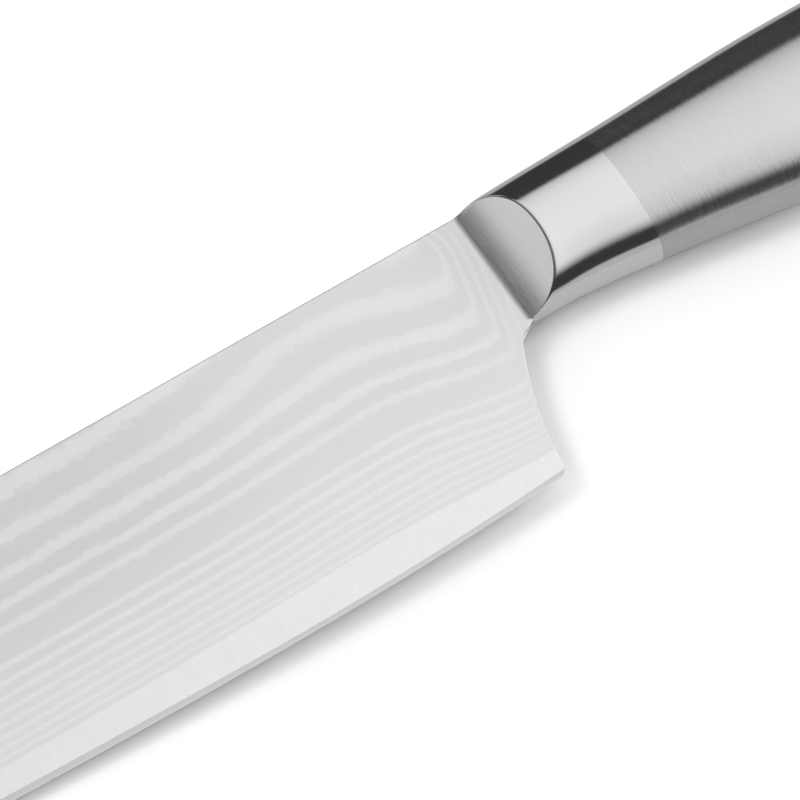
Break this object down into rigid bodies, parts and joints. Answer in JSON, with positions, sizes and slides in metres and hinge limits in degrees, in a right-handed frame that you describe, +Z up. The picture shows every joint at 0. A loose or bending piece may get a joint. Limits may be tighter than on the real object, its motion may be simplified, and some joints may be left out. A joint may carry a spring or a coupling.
{
  "type": "vegetable cleaver",
  "caption": "Vegetable cleaver lying on its side: tall layered-pattern blade with a plain cutting edge, scooped polished bolster and a satin hollow steel handle.",
  "frame": {"origin": "on the table under the middle of the knife as it lies on its left side", "axes": "+X along the knife towards the butt, +Y towards the spine, +Z up, out of the right face of the blade"},
  "size_m": [0.308, 0.0512, 0.02],
  "materials": {
    "core_steel": "fine ground",
    "layered_cladding": "etched wavy layers, light on mid grey",
    "polished_steel": "mirror polished barrel, brushed ramps",
    "satin_steel": "satin, brushed round the grip",
    "tang_steel": "plain rolled",
    "filler": "cast filler"
  },
  "bodies": {
    "root": {"core_steel": "core_steel", "right_cladding": "layered_cladding", "left_cladding": "layered_cladding", "bolster": "polished_steel", "tang_bar": "tang_steel", "right_handle_shell": "satin_steel", "left_handle_shell": "satin_steel", "butt_cap": "satin_steel", "handle_filler": "filler"}
  },
  "joints": []
}
